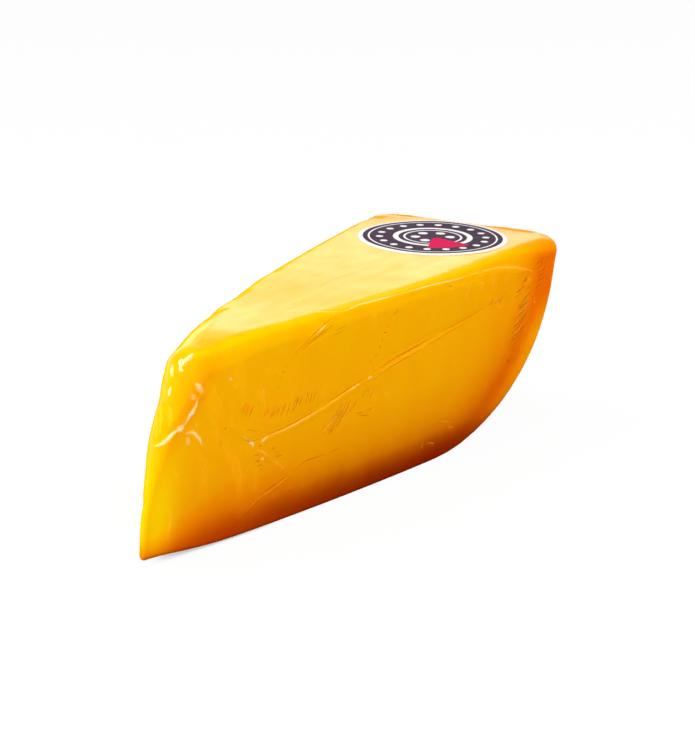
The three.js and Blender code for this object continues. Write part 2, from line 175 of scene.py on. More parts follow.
# Sharp pleats of the film, by pixels of the photograph: (tone, width in millimetres, strength, route).
# Tone 0 is painted shade in a groove; tones from 0.5 to 0.9 are painted light on a lit flank; tone 1 is a
# pale raised pleat, partly milky film and partly a painted highlight.
PLEATS = [
    # The long pleat across the near face.
    (0.9, 0.8, 0.9, [(260, 443.6), (264, 439.4), (269, 436)]),
    (0.85, 0.5, 0.65, [
        (266, 437.6), (276, 433.3), (285, 429.6), (298, 422.6), (307, 417.5), (315, 412.9), (325, 407),
    ]),
    (0.8, 0.4, 0.4, [(322, 408.6), (340, 396.7), (350, 389.8)]),
    (0.85, 0.55, 0.8, [(347, 391.8), (353, 388), (360.5, 383)]),
    (1, 0.7, 0.7, [(367.5, 378.8), (372.5, 376.2)]),
    (0.75, 0.5, 0.5, [
        (372, 376.6), (385, 368.5), (398, 360), (411, 352.5), (424, 345), (437, 337), (451, 329.4),
    ]),
    (0, 0.4, 0.5, [
        (255, 440.2), (262, 437), (268, 434.2), (285, 427), (298, 420.2), (307, 415.2), (323, 405.4),
    ]),
    (0, 0.4, 0.6, [(320, 407.4), (329, 401.2), (340, 394.2), (350, 387.5), (360, 381), (370, 374.6)]),
    (0, 0.6, 0.55, [(368, 375.8), (383, 365.5), (396, 357.3), (411, 349.1), (424, 341.8), (437, 333.6)]),
    (0, 0.5, 0.4, [(435, 335), (451, 326.4), (463, 320), (471, 315.5), (481, 309.1), (488, 305.3)]),
    (0, 0.4, 0.55, [(370, 380.9), (376.4, 377.3), (387, 369.5), (399, 361.8), (411, 355.5), (424, 347.7)]),
    (0, 0.4, 0.45, [(422, 348.8), (437, 339.5), (451, 330.9), (460, 325.9), (469, 319.1), (478, 314.1)]),
    # Where it starts, near the nose.
    (1, 1.0, 0.9, [(248.5, 441.6), (252.5, 443.8), (252.6, 448)]),
    (0.8, 0.8, 0.3, [(240, 435.4), (246, 439.6), (251, 442.6)]),
    (0, 0.4, 0.4, [(240, 436.8), (245, 440), (250.8, 441.6), (256.7, 440), (262.5, 437.5)]),
    (0, 0.4, 0.4, [(245.8, 429.2), (252, 430.6), (259.2, 431.9)]),
    (0, 0.5, 0.5, [(258.6, 447), (262, 444.4)]),
    (0.85, 0.5, 0.4, [(256.8, 449.5), (262.3, 451.8), (268, 455)]),
    (0.8, 0.45, 0.25, [(266.8, 454.1), (274, 461), (280.5, 466.4), (286, 470), (289.7, 473.8)]),
    (1, 0.8, 0.8, [(260.8, 460), (263.6, 457.4)]),
    (0, 0.4, 0.55, [(270.5, 449.5), (276.8, 446.4)]),
    (0, 0.35, 0.5, [(275, 457.7), (284, 454)]),
    (0, 0.4, 0.5, [(254.5, 462.7), (259.5, 460)]),
    (0, 0.4, 0.35, [(256, 466.4), (262.3, 464.5)]),
    (0, 0.4, 0.3, [(253.2, 455.9), (259.5, 454)]),
    (0, 0.35, 0.3, [(259, 469.8), (262.5, 469)]),
    # The low pleat that comes down from it.
    (0.75, 0.35, 0.4, [
        (289.7, 474.4), (286, 478.2), (280.5, 482.3), (274, 487.3), (266.8, 492.7), (257.4, 498.8),
    ]),
    (0, 0.35, 0.75, [(290, 472.6), (286, 476.6), (280, 480.9), (273, 485.9), (266, 491), (256.6, 497.4)]),
    (0, 0.35, 0.6, [(257, 498), (252.3, 502.7), (244, 511), (235, 521), (224, 533)]),
    (0.75, 0.35, 0.3, [(256, 500.6), (252, 504.4), (245, 511.6), (236, 521.6)]),
    (0, 0.35, 0.6, [
        (291, 473.4), (298.6, 466.4), (305, 461.4), (312.3, 458.6), (321.4, 455.5), (329.5, 452.4),
    ]),
    (0, 0.35, 0.35, [(327, 453.4), (336, 449.5), (341, 448)]),
    (0, 0.9, 0.6, [(285.6, 492.9), (291.6, 489.3)]),
    (0, 0.4, 0.3, [(246, 514), (251.4, 512.3)]),
    # The pleat along the top edge, its fork and the trail below it.
    (1, 0.6, 0.45, [(287, 312.6), (300, 312.3), (320, 311.7), (343, 312)]),
    (1, 0.6, 0.7, [(341, 312.3), (350, 308.5), (360, 304.5), (372, 301.4), (387, 297.3), (401, 293.6)]),
    (1, 0.5, 0.6, [(398, 294.4), (414.5, 290), (427, 286.4), (442, 282.7), (455.5, 279.6), (470, 275)]),
    (0.8, 1.1, 0.4, [(467, 276), (486, 270.5), (500, 267.6), (511, 267.2), (522, 268.4), (535, 272)]),
    (0, 0.35, 0.45, [
        (343, 313.2), (335, 317), (329, 320), (318, 330.5), (309, 338.6), (300, 348), (290, 358.6),
    ]),
    (1, 0.45, 0.65, [(327, 323.8), (321, 329.6), (315.6, 335)]),
    (0, 0.35, 0.5, [(337, 323), (328, 328.6), (321, 334), (305, 348), (297, 354), (289.6, 359.6)]),
    (0, 0.3, 0.4, [(332, 336), (343, 331)]),
    (0, 0.3, 0.35, [(335, 331), (347, 325)]),
    (0, 0.4, 0.5, [(287.4, 364.6), (285, 368.4)]),
    (0, 0.5, 0.5, [(284, 371), (282.6, 373.4)]),
    (0, 0.4, 0.35, [(282, 376), (281, 380)]),
    (0, 0.4, 0.3, [(278.6, 386), (277.8, 389.4)]),
    (0, 0.35, 0.55, [(399, 308), (395.4, 312.6), (391.6, 317.4)]),
    (0.75, 0.4, 0.4, [(398.6, 311), (394.6, 316), (391.6, 320.4)]),
    (0, 0.45, 0.55, [(389, 325.3), (385.7, 327.5)]),
    (0, 0.45, 0.6, [(387.5, 331.3), (383, 333.6)]),
    (0.75, 0.5, 0.4, [(388, 334), (384, 336)]),
    (0, 0.45, 0.6, [(382.8, 338), (381.3, 342)]),
    (0, 0.45, 0.6, [(380.6, 345), (378.5, 348.4)]),
    (0, 0.35, 0.35, [(376.8, 352.7), (375, 357.6)]),
    (0, 0.4, 0.3, [(371.6, 359.6), (369.6, 362.4)]),
    # The white folds round the nose: partly milky folded film, partly painted highlights.
    (1, 1.2, 0.9, [(153, 446.6), (158, 445.4), (163.6, 442.9), (169, 438), (173.6, 433), (180.7, 428.6)]),
    (1, 2.0, 0.85, [(176, 431.4), (180.7, 428.4), (184.6, 424.4)]),
    (1, 1.1, 0.85, [(182, 427.4), (185.7, 422.9), (190, 415), (193.6, 410), (196.4, 404.3), (197.8, 397)]),
    (1, 1.6, 0.6, [(189.4, 414.4), (195, 412)]),
    (0.95, 2.0, 0.65, [(195.6, 382), (199.4, 388), (202.4, 393.6)]),
    (0.9, 2.0, 0.35, [(192.4, 393), (193.6, 401)]),
    (1, 1.0, 0.8, [(184.4, 434.6), (189, 432.6), (192.6, 432.4), (196.4, 436), (200, 440), (201.6, 446)]),
    (1, 1.6, 0.35, [(187, 436), (188.6, 446)]),
    (1, 0.5, 0.5, [(195.6, 425), (197, 425.4)]),
    (0, 0.9, 0.5, [(223.6, 430), (226.6, 427.4)]),
    (1, 1.2, 0.8, [(229.4, 379.6), (231.4, 378)]),
    (0.75, 1.0, 0.5, [(160.4, 402), (161, 415), (159.6, 438)]),
    (0.75, 1.0, 0.5, [(156, 415), (157, 428), (155.4, 440)]),
    (0.75, 1.4, 0.4, [(168, 404), (171, 414), (170, 428)]),
    # Painted highlights: bright glints of the film on the nose, drawn as pale pleats.
    (1, 1.9, 0.9, [(181, 367), (184, 362.6), (188, 359), (194, 353)]),
    (1, 1.1, 0.9, [(172.4, 378), (171.8, 371), (173, 364)]),
    (1, 1.0, 0.8, [(168.4, 397), (170, 391), (171, 385.6)]),
    # Small marks by the rim.
    (0, 1.4, 0.45, [(527, 275.6), (525.4, 279), (527, 284)]),
    (0.8, 0.9, 0.45, [(529, 277.6), (529.4, 281)]),
    (0.8, 0.7, 0.6, [(533.6, 301.4), (534.8, 302.6)]),
    (0, 1.0, 0.45, [(532, 295.6), (531, 298.6)]),
    (0.8, 0.5, 0.45, [(526, 328.4), (525, 331)]),
    (0.8, 0.5, 0.4, [(523.6, 339.6), (523, 342)]),
    (0.8, 0.5, 0.4, [(521.4, 347.4), (520.6, 349.6)]),
    (0, 1.1, 0.55, [(508.6, 359.6), (505.4, 362)]),
    (0.8, 0.6, 0.35, [(494, 303), (497, 300), (500, 305.4)]),
    (0.8, 0.6, 0.3, [(498, 309), (503, 305.4)]),
    (0.6, 0.5, 0.4, [(420.8, 450), (422.4, 443.6), (424, 441)]),
    (0.6, 0.45, 0.4, [(425, 444.6), (430, 442.6), (433.4, 443.6), (435.4, 440.4)]),
    (0.75, 0.4, 0.35, [(437, 423), (443, 421.4), (449, 422), (454, 421)]),
    (0, 0.5, 0.4, [(445, 427.4), (449, 429)]),
    (0.75, 0.4, 0.35, [(446, 425.4), (450, 427.6), (455, 423.6)]),
    # Streaks of the film on the top: painted highlights, and one faint line of painted shade.
    (1, 0.9, 0.6, [(295, 301.4), (300, 300), (306, 298)]),
    (1, 0.9, 0.5, [(281, 315), (290, 311), (299, 308)]),
    (1, 0.7, 0.3, [(288, 306), (296, 303)]),
    (0, 0.5, 0.22, [(315, 286), (330, 281), (346, 275.6), (360, 270.4), (376, 265)]),
    (1, 0.6, 0.2, [(316, 287.6), (331, 282.6), (347, 277.2), (361, 272)]),
]

# Patches of fine wrinkles, by pixels of the photograph: (count, tone, foot line, head line).
# Tone 0 lines are painted shade in the wrinkles, and lighter tones painted light.
HATCHES = [
    (6, 0, [(239, 415), (244, 419), (250, 418)], [(246, 404), (250, 402), (255, 404)]),
    (13, 0, [(262, 420), (276, 419), (288, 415)], [(267, 408), (280, 404), (293, 399)]),
    (12, 0, [(289, 414), (301, 408), (314, 402)], [(294, 397), (305, 392), (318, 389)]),
    (9, 0.5, [(264, 420), (278, 418), (290, 413)], [(270, 407), (283, 403), (295, 397)]),
    (7, 0.75, [(287, 414), (299, 406), (312, 400)], [(292, 398), (304, 390), (316, 387)]),
    (8, 0, [(319, 434), (326, 438), (334, 430)], [(335, 414), (340, 411), (346, 409)]),
    (9, 0, [(331, 421), (338, 420), (350, 415)], [(342, 400), (349, 399), (359, 398)]),
    (8, 0.75, [(321, 434), (330, 428), (342, 420)], [(335, 415), (343, 406), (354, 400)]),
    (5, 0, [(361, 399), (366, 398), (371, 396)], [(364, 388), (369, 388), (374, 387)]),
    (3, 0.75, [(363, 398), (368, 397), (372, 395)], [(366, 388), (370, 388), (375, 387)]),
    (4, 0, [(354, 413), (360, 416), (364, 412)], [(363, 411), (368, 414), (374, 408)]),
    (26, 0, [(519, 302), (513, 324), (508, 352)], [(532, 290), (528, 308), (523, 334)]),
    (16, 0.75, [(520, 302), (515, 322), (510, 348)], [(531, 293), (527, 310), (522, 334)]),
    (6, 0, [(521, 284), (516, 292), (512, 300)], [(528, 276), (525, 284), (522, 292)]),
    (12, 0, [(536, 262), (538, 274), (535, 292)], [(543, 254), (546, 266), (543, 284)]),
    (5, 0.75, [(537, 262), (539, 274), (536, 290)], [(542, 256), (545, 268), (542, 284)]),
    (6, 0, [(486, 308), (492, 306), (500, 303)], [(493, 299), (499, 297), (506, 294)]),
    (4, 0.75, [(488, 308), (494, 306), (501, 303)], [(494, 300), (500, 298), (505, 295)]),
]
HATCH_WIDTH = 0.32
HATCH_STRENGTH = 0.7
HATCH_SHARE = (0.5, 1)
HATCH_JITTER = 0.3
HATCH_SPREAD = 0.6
HATCH_END = 2
HATCH_BOW = (0.1, 0.6)

# Painted reflections: hazy upright light smears of the film, by pixels of the photograph, like the pleats.
SMEARS = [
    (0.75, 3, 0.18, [(262, 384), (262.6, 396), (262, 409)]),
    (0.75, 2.7, 0.1, [(270.6, 364), (270, 376)]),
    (0.75, 3.2, 0.08, [(296, 384), (298, 402)]),
    (0.75, 3.2, 0.08, [(324, 380), (325, 398)]),
    (0.75, 3, 0.13, [(373, 310), (374.6, 326)]),
    (0.75, 3.2, 0.12, [(419, 299), (420, 313)]),
    (0.75, 2.7, 0.16, [(449, 287), (451, 284), (452, 297)]),
    (0.75, 3.2, 0.17, [(466, 280), (467, 301)]),
    (0.75, 3.2, 0.17, [(482, 276), (481.6, 295)]),
    (0.75, 3, 0.14, [(493, 275), (493.6, 291)]),
    (0.75, 3.5, 0.08, [(435, 292), (436, 306)]),
    (0.75, 3.5, 0.08, [(505, 274), (506, 290)]),
    (0.75, 2.2, 0.13, [(370, 387), (374, 398), (376, 404)]),
    (0.75, 2.2, 0.16, [(382, 389), (386, 394), (386.4, 400)]),
    (0.5, 4.6, 0.25, [(220, 440), (232, 458), (238, 480), (236, 502)]),
    (0.5, 4.9, 0.18, [(204, 376), (214, 400), (224, 420)]),
    (0.5, 3.5, 0.18, [(196, 446), (203, 470), (204, 494)]),
    (0.75, 1.2, 0.3, [(172, 502), (170, 522), (165, 546)]),
    (0.5, 3.5, 0.18, [(208, 416), (216, 434), (221, 448)]),
    (0.5, 5.4, 0.16, [(240, 350), (238, 380), (242, 404)]),
    (0.5, 4.1, 0.14, [(250, 448), (254, 474), (252, 496)]),
    (0.75, 1.2, 0.5, [(175.4, 472), (176.6, 477.6)]),
]

# The pleats' colours by tone: amber painted shade in a groove, bright yellow painted light on a swell, and a
# pale crease that is partly milky film and partly a painted highlight.
PLEAT_TONES = [
    (0.0, (0.62, 0.085, 0.0)), (0.5, (1.0, 0.56, 0.01)), (0.75, (1.0, 0.6, 0.03)), (1.0, (1.0, 0.85, 0.42)),
]

# Seeded pleats on the sides that the photograph doesn't show, in tones of painted shade and painted light.
HIDDEN_SEED = 4
HIDDEN_PLEATS = 34
HIDDEN_PATCHES = 5
HIDDEN_TONES = (0, 0.8)
HIDDEN_WAY = (-165, -8)
HIDDEN_CLIMB = (6, 42)
HIDDEN_SLOPE = (0.35, 0.4)
HIDDEN_LENGTH = (4, 24)
HIDDEN_BOW = 1.5
HIDDEN_LEAN = 0.3
HIDDEN_WIDTH = (0.35, 0.6)
HIDDEN_STRENGTH = (0.25, 0.5)
HIDDEN_LOWEST = 3
HIDDEN_HIGHEST = 43
HIDDEN_FURTHEST = -176
HIDDEN_OUTLINE = {"front": 2, "nose": 8, "side": 60, "corner": 8, "rim": 16}

# Their patches of short wrinkles, in painted shade.
PATCH_WAY = (-140, -30)
PATCH_CLIMB = (14, 32)
PATCH_SLOPE = (0.6, 2.2)
PATCH_COUNT = 9
PATCH_HALF = (1, 2.4)
PATCH_GAP = (0.8, 1.1)
PATCH_SHIFT = 0.8
PATCH_BOW = (0.1, 0.3)

# Every pleat's shape: its steps, its rise by its width, and how it lies on the film and tapers.
PLEAT_STEP = 0.45 * MM
PLEAT_RISE = 0.22
PLEAT_FLOAT = 0.015 * MM
PLEAT_ROOT = 0.04 * MM
PLEAT_LEAN = 0.45
PLEAT_FADE = 0.5
PLEAT_TAPER = 0.6

# Across a pleat: how far out, how high, and how dense.
PLEAT_SECTION = [(-1, 0, 0), (-0.5, 0.75, 0.6), (0, 1, 1), (0.5, 0.75, 0.6), (1, 0, 0)]

# The colour by the height above the bottom face, in millimetres: darker and redder towards the bottom,
# partly the paste's own colour near the rind and partly painted shade.
PASTE_AND_SHADE_BY_HEIGHT = [
    (0, (0.21, 0.015, 0.0)), (2.4, (0.27, 0.021, 0.0)), (4, (0.33, 0.042, 0.0)),
    (6, (0.475, 0.087, 0.0)), (8, (0.66, 0.175, 0.0005)), (11, (0.79, 0.265, 0.0005)),
    (14.5, (0.87, 0.33, 0.0008)), (22, (0.93, 0.4, 0.001)), (31, (0.96, 0.42, 0.001)),
    (44, (0.96, 0.45, 0.001)),
]

# The same paste colour and painted shade near the nose, within a reach of it, but lighter at the foot, which
# is painted light. There the colours also climb NOSE_STRETCH times higher.
NOSE_PASTE_AND_SHADE_BY_HEIGHT = [
    (0, (0.53, 0.052, 0.0)), (3, (0.6, 0.07, 0.0)), (5, (0.69, 0.105, 0.0)), (7, (0.78, 0.155, 0.0)),
    (9.2, (0.87, 0.22, 0.0)), (12, (0.92, 0.28, 0.0005)), (15, (0.93, 0.36, 0.0008)),
    (22, (0.94, 0.4, 0.001)), (31, (0.96, 0.42, 0.001)), (44, (0.96, 0.45, 0.001)),
]
NOSE_REACH = 46
NOSE_STRETCH = 1.1
NOSE_STRETCH_REACH = 12

# Painted light and shade on the nose's front: brighter yellow towards its foot, darker towards its top.
FRONT_PAINTED_LIGHT_BY_HEIGHT = [
    (0, (1.2, 1.9, 1.0)), (8, (1.08, 1.6, 1.0)), (16, (1.05, 1.4, 1.0)), (22, (1.03, 1.2, 1.0)),
    (30, (1.0, 0.88, 1.0)), (37, (0.98, 0.76, 1.0)), (44, (0.98, 0.8, 1.0)), (47, (1.0, 0.92, 1.0)),
]
FRONT_MIDDLE = 4.5
FRONT_REACH = 5

# Its tint by its depth in from the rim, on the walls and on the top. On the top it is the rind's own orange.
# On the walls it is partly the paste's own darker amber under the rind and partly painted light and shade: a
# lighter strip at the rim's rounded corner and a darker band in from it.
LOW_WALL_RIND_AND_LIGHT_BY_RIM = [
    (0, (1.06, 0.92, 0.5)), (6, (1.06, 0.86, 0.5)), (10, (1.03, 0.7, 0.5)), (13, (0.94, 0.47, 0.5)),
    (17, (0.86, 0.38, 0.6)), (20.5, (0.89, 0.5, 0.6)), (25, (0.94, 0.66, 0.8)), (30, (0.97, 0.77, 0.8)),
    (40, (1.0, 0.92, 1.0)), (60, (1.0, 1.0, 1.0)),
]
HIGH_WALL_RIND_AND_LIGHT_BY_RIM = [
    (0, (1.0, 0.65, 0.5)), (3, (1.0, 0.58, 0.5)), (6.5, (0.95, 0.34, 0.5)), (13, (0.9, 0.36, 0.5)),
    (18, (0.96, 0.6, 0.7)), (26, (1.0, 0.8, 0.8)), (38, (1.0, 0.9, 1.0)), (60, (1.0, 1.0, 1.0)),
]
TOP_BY_RIM = [
    (0, (0.97, 0.45, 0.3)), (3, (1.0, 0.64, 0.7)), (8, (1.0, 0.77, 1.1)), (16, (1.0, 0.82, 1.2)),
    (28, (1.0, 0.9, 1.1)), (50, (1.0, 1.0, 1.0)),
]

# Painted light and shade by the climb up the skin: a darker amber band of painted shade below the top edge,
# brighter yellow painted light on the edge, and a paler top face that stands in for its sheen.
PAINTED_LIGHT_BY_CLIMB = [
    (43, (1.0, 1.0, 1.0)), (44.7, (0.98, 1.01, 0.8)), (46.2, (0.94, 0.97, 0.5)), (47.1, (0.97, 1.05, 0.5)),
    (47.8, (1.02, 1.24, 0.5)), (50, (1.02, 1.1, 2.0)), (54, (1.02, 1.09, 12.0)),
]

# The far top edge has no band of painted shade between these ways round.
FAR_EDGE = (-160, -8)
FAR_EDGE_FADE = 12

# How far the band of painted shade comes down towards the rim, by the way round.
SHADE_BAND_DROP = [(86, 0), (114, 0.2), (128, 0.4), (141, 2), (155, 3)]

# Where the high wall's tint, the walls' tints and the top's tint come in up the skin: (start, reach).
HIGH_WALL_START = (24, 10)
WALL_START = (-6, 20)
TOP_START = (44, 5)

# How far the bands of colour and of painted shade wander, as waves: (height, reach, seed), by height, rim
# and the shade band.
WANDER_WAVES = [(0.6, 10, 9), (0.3, 3, 11)]
WANDER_BY_RIM = 1.5
WANDER_BY_SHADE_BAND = 0.2

# How much the paste's yellow varies in upright streaks and in spots.
STREAK_CONTRAST = 0.14
STREAK_STRETCH = (1, 1, 0.22)
MOTTLE_CONTRAST = 0.1

# Fine noise in the materials, (scale, detail), and its bumps, (strength, depth).
PASTE_MOTTLE = (90.0, 4.0)
PASTE_STREAK = (160.0, 3.0)
PASTE_BUMP = (0.12, 0.0004)
FILM_SLOW = (70.0, 1.0)
FILM_SLOW_BUMP = (0.3, 0.0005)
FILM_FINE = (420.0, 3.0)
FILM_FINE_BUMP = (0.12, 0.0003)
PAPER_MOTTLE = (200.0, 3.0)
PAPER_BUMP = (0.08, 0.0002)

# The film's gloss seen straight on, and the most of it at a slant.
FILM_LEAST_SHINE = 0.03
FILM_MOST_SHINE = 0.22
FILM_STEEPNESS = 5.0

# The gloss on the top by the way round, and its streaks.
VEIL_BY_WAY = [
    (-140, 1.3), (-100, 1.2), (-50, 0.72), (-10, 1.2), (20, 1.1), (50, 0.72), (100, 1.2), (140, 1.3),
]
VEIL_WAVES = [(1, (11 * MM, 2.5 * MM), 13), (1, 9 * MM, 17)]
VEIL_CONTRAST = 0.22
VEIL_START = (47, 4)

# The label's print and its disc.
LABEL_CUT_TURN = -2.3
LABEL_CUT_HALF = 0.5
LABEL_AROUND = 128
LABEL_RINGS = [0.25, 0.5, 0.75, 0.9, 0.985]
LABEL_WAVE = 0.05 * MM
LABEL_EDGE = 0.6
LABEL_FIELD = [(0.05, 0.028, 0.053, 1), (0.095, 0.062, 0.095, 1)]
LABEL_RED = (0.72, 0.01, 0.1, 1)
LABEL_WHITE = (0.93, 0.9, 0.88, 1)

# Its print, in millimetres: rings are (radius, width), and dots are (radius, count, size).
WHEEL_EDGE = 11.0
WHEEL_RING = (9.9, 1.5)
WHEEL_LINE = (7.6, 0.6)
WHEEL_DOTS = (4.6, 6, 2.6)
CUT_FROM, CUT_TO = 1.6, 12.6
BORDER_FROM = 18.7
BORDER_LINE = (17.1, 0.5)
BORDER_DOTS = (14.2, 18, 2.0)

# The floor, and the sky's glow by its turn towards SKY_TURN, from 0 away to 1 facing.
FLOOR_HALF = 4
FLOOR_SHADE = 0.05
FLOOR_BOUNCE = 0.4
SKY_TURN = (0.3, 0.954)
SKY_BY_TURN = [(0.0, 0.0), (0.55, 0.0), (0.66, 0.15), (0.8, 1.0), (1.0, 1.0)]
SKY_BY_HEIGHT = [(0.54, 0.0), (0.6, 1.0), (0.67, 1.0), (0.74, 0.15), (0.8, 0.0)]
SKY_STRENGTH = 1.08

# A painted shadow under the wedge: the floor's glow is darkened by ambient occlusion. It shows by the nose
# alone: it fades over UNDER_FADE and ends at -UNDER_END.
UNDER_REACH = 8 * MM
UNDER_SLOPE = 2
UNDER_LEAST = 0.45
UNDER_END = 38 * MM
UNDER_FADE = 30 * MM

# The lights: (name, direction from the wedge, size, power, whether it shows in the gloss).
LIGHT_DISTANCE = 1.2
LIGHTS = [
    ("key", (-0.615, -0.44, 0.65), (0.5, 0.5), 9.2, False),
    ("over", (0.05, 0.25, 1.0), (0.6, 0.6), 2.6, False),
    ("nose", (-1.0, 0.12, 0.12), (0.3, 0.3), 6.8, False),
    ("side", (0.75, -0.6, 0.3), (0.5, 0.5), 8.8, False),
    ("far", (-0.5, 0.8, 0.3), (0.5, 0.5), 4, False),
    ("spark", (-0.12, 0.55, 0.82), (0.7, 0.12), 4, True),
]


def step_lengths(points):
    return np.linalg.norm(np.diff(points, axis=0), axis=1)


def run_lengths(points):
    """The distance along a line of points to each of them."""
    return np.concatenate([[0], np.cumsum(step_lengths(points))])


def unit(rows):
    return rows / np.linalg.norm(rows, axis=1)[:, None]


def bell(away, reach):
    """1 at no distance away, and less over a reach."""
    return np.exp(-((away / reach) ** 2))


def ease(values, start, reach):
    """0 up to a start, and 1 from a reach beyond it."""
    return np.clip((values - start) / reach, 0, 1)


def smooth_path(route, steps=ROUTE_STEPS):
    """A route as a smooth line through its points, with more points between them."""
    p = np.array(route, float)
    p = np.vstack([2 * p[0] - p[1], p, 2 * p[-1] - p[-2]])
    t = np.linspace(0, 1, steps, endpoint=False)[:, None]
    line = []
    for a, b, c, d in zip(p, p[1:], p[2:], p[3:]):
        bend = 2 * a - 5 * b + 4 * c - d
        twist = 3 * b - a - 3 * c + d
        line.append(0.5 * (2 * b + (c - a) * t + bend * t**2 + twist * t**3))
    return np.vstack([*line, p[-2:-1]])


def along_path(points, path):
    """Each point's distance from a path, and its share of the way along it."""
    steps, start = step_lengths(path), run_lengths(path)
    best = np.full(len(points), np.inf)
    share = np.zeros(len(points))
    for i, length in enumerate(steps):
        run = path[i + 1] - path[i]
        t = np.clip((points - path[i]) @ run / length**2, 0, 1)
        gap = np.linalg.norm(points - path[i] - t[:, None] * run, axis=1)
        closer = gap < best
        best[closer] = gap[closer]
        share[closer] = (start[i] + t[closer] * length) / start[-1]
    return best, share


def rounded_corner(before, corner, after, radius, steps):
    """Points of the arc that rounds a corner."""
    u = (before - corner) / np.linalg.norm(before - corner)
    v = (after - corner) / np.linalg.norm(after - corner)
    half = math.acos(np.clip(u @ v, -1, 1)) / 2
    room = ROUND_ROOM * min(np.linalg.norm(before - corner), np.linalg.norm(after - corner))
    reach = min(radius / math.tan(half), room)
    r = reach * math.tan(half)
    centre = corner + (u + v) / np.linalg.norm(u + v) * r / math.sin(half)
    a, b = corner + u * reach - centre, corner + v * reach - centre
    turn = math.atan2(a[0] * b[1] - a[1] * b[0], a @ b)
    angle = math.atan2(a[1], a[0]) + turn * np.linspace(0, 1, steps + 1)
    return centre + r * np.column_stack([np.cos(angle), np.sin(angle)])


def rim_radius(share):
    """The rim's distance from the wheel's centre at a share of the height."""
    return WHEEL_RADIUS - RIM_UNDER * (1 - np.sqrt(1 - (1 - share) ** RIM_CURL))


def half_outline(z, drop, steps):
    """Half the outline at a height, drawn in by a drop, from the nose's middle to the rim's."""
    share = min(max(z / HEIGHT, 0), 1)
    front = NOSE_BOTTOM + (NOSE_TOP - NOSE_BOTTOM) * share**NOSE_LEAN + drop
    rim = rim_radius(share) - drop
    along = math.sqrt(rim**2 - drop**2)
    half_front = max((front - drop / math.sin(HALF_ANGLE)) * math.tan(HALF_ANGLE), NOSE_LEAST_HALF_WIDTH)
    nose = np.array([front, half_front])
    corner = np.array([
        along * math.cos(HALF_ANGLE) + drop * math.sin(HALF_ANGLE),
        along * math.sin(HALF_ANGLE) - drop * math.cos(HALF_ANGLE),
    ])
    nose_round = NOSE_ROUND_BOTTOM + (NOSE_ROUND_TOP - NOSE_ROUND_BOTTOM) * share - drop / 2
    nose_arc = rounded_corner(nose * [1, -1], nose, corner, max(nose_round, LEAST_ROUND), steps["nose"])
    rim_middle = np.array([rim, 0])
    corner_arc = rounded_corner(nose, corner, rim_middle, RIM_CORNER_ROUND - drop / 2, steps["corner"])
    front_run = np.linspace([front, 0], nose_arc[0], steps["front"] + 1)[:-1]
    side_run = np.linspace(nose_arc[-1], corner_arc[0], steps["side"] + 1)[1:-1]
    angle = math.atan2(corner_arc[-1][1], corner_arc[-1][0]) * np.linspace(1, 0, steps["rim"] + 1)[1:, None]
    rim_run = rim * np.hstack([np.cos(angle), np.sin(angle)])
    return np.vstack([front_run, nose_arc, side_run, corner_arc, rim_run])


def belly(points, most):
    """The outline's y, with the cut faces bellied."""
    share = np.clip((points[:, 0] - NOSE_BOTTOM) / (WHEEL_RADIUS - NOSE_BOTTOM), 0, 1)
    half_width = np.maximum(points[:, 0] * math.tan(HALF_ANGLE), BELLY_LEAST_HALF_WIDTH)
    return points[:, 1] * (1 + most * 4 * share * (1 - share) / half_width)


def settle(points):
    """The film's pull on the top of the nose, and the lift of the nose's foot."""
    x, z = points[:, 0], points[:, 2]
    sag = NOSE_SAG * bell(np.maximum(x - NOSE_TOP, 0), NOSE_SAG_REACH)
    lift = FOOT_LIFT * bell(np.maximum(x - NOSE_BOTTOM, 0), FOOT_LIFT_REACH)
    z = z * (1 - sag / HEIGHT)
    return np.column_stack([x, points[:, 1], z + lift * (1 - z / HEIGHT)])


def round_near_edge(points, near):
    """Draws the near top edge in where it is rounder than the rest."""
    radius = np.interp(points[:, 0], *zip(*NEAR_ROUNDS))
    height = points[:, 2] - HEIGHT

    def inset(r):
        rise = np.clip((height + r) / r, 0, 1)
        return r * (1 - np.sqrt(1 - rise**2))

    extra = np.where(near, np.maximum(inset(radius) - inset(TOP_ROUND), 0), 0)
    return points + np.column_stack([0 * extra, np.minimum(extra, -np.minimum(points[:, 1], 0)), 0 * extra])


def level(climb):
    """The height and the drop of a climb up the skin."""
    if climb < BOTTOM_ROUND:
        return climb, BOTTOM_ROUND * (1 - math.sin(math.acos(1 - climb / BOTTOM_ROUND)))
    angle = max(climb - WALL_TOP, 0) / TOP_ROUND
    return min(climb, WALL_TOP) + TOP_ROUND * math.sin(angle), TOP_ROUND * (1 - math.cos(angle))


def climbs(steps):
    """The climbs of all the levels, from the bottom face to the top face."""
    bottom = BOTTOM_ROUND * (1 - np.cos(np.linspace(0, math.pi / 2, steps["bottom"] + 1)))
    wall = np.linspace(BOTTOM_ROUND, WALL_TOP, steps["wall"] + 1)
    top = WALL_TOP + ROUND_LENGTH * np.linspace(0, 1, steps["top"] + 1)
    return np.concatenate([bottom[:-1], wall[:-1], top])


